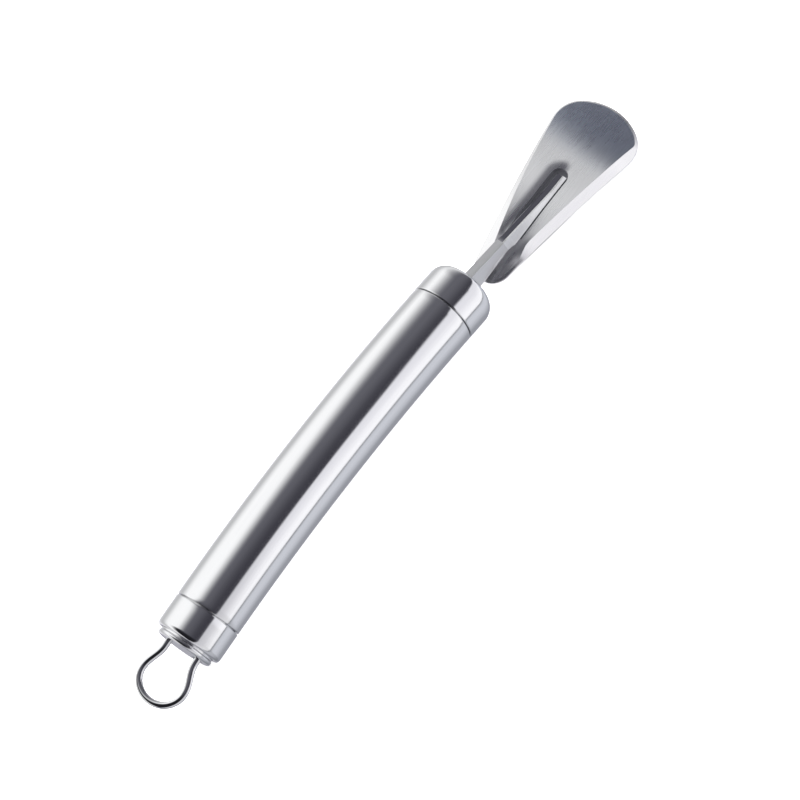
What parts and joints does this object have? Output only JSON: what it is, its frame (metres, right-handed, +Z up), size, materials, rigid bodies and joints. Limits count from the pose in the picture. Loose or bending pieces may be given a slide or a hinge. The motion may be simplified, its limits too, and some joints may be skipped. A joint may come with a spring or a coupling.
{
  "type": "orange peeler",
  "caption": "Hand tool with an arched steel tube handle, a flared peeling plate, a slanted scoring knife set in the plate's slot, and a swinging wire hanging loop.",
  "frame": {"origin": "middle of the whole tool's box, at the underside it lies on", "axes": "+X from the hanging loop to the plate's tip, +Y to the left seen from the knife side, +Z up through the knife side"},
  "size_m": [0.1926, 0.0244, 0.0226],
  "materials": {
    "handle_steel": "satin, brushed along its length",
    "cap_steel": "satin, brushed along its length",
    "plug_steel": "turned, half bright",
    "inner_steel": "plain machined",
    "loop_wire": "polished",
    "plate_steel": "satin, brushed along its length, bright borders",
    "knife_steel": "ground across",
    "weld_steel": "dressed smooth"
  },
  "bodies": {
    "handle": {"handle_tube": "handle_steel", "front_cap": "cap_steel", "tang_socket": "inner_steel", "tang_pin": "inner_steel", "rear_cap": "cap_steel", "end_plug": "plug_steel", "loop_retainer": "inner_steel", "peeling_plate": "plate_steel", "scoring_knife": "knife_steel", "heel_weld_left": "weld_steel", "heel_weld_right": "weld_steel"},
    "loop": {"hanging_loop": "loop_wire"}
  },
  "joints": [
    {"name": "loop_swing", "type": "hinge", "parent": "handle", "child": "loop", "pos_m": [-0.07834, 0, 0.009], "axis": [0, 1, 0], "range_deg": [-9, 20]}
  ]
}
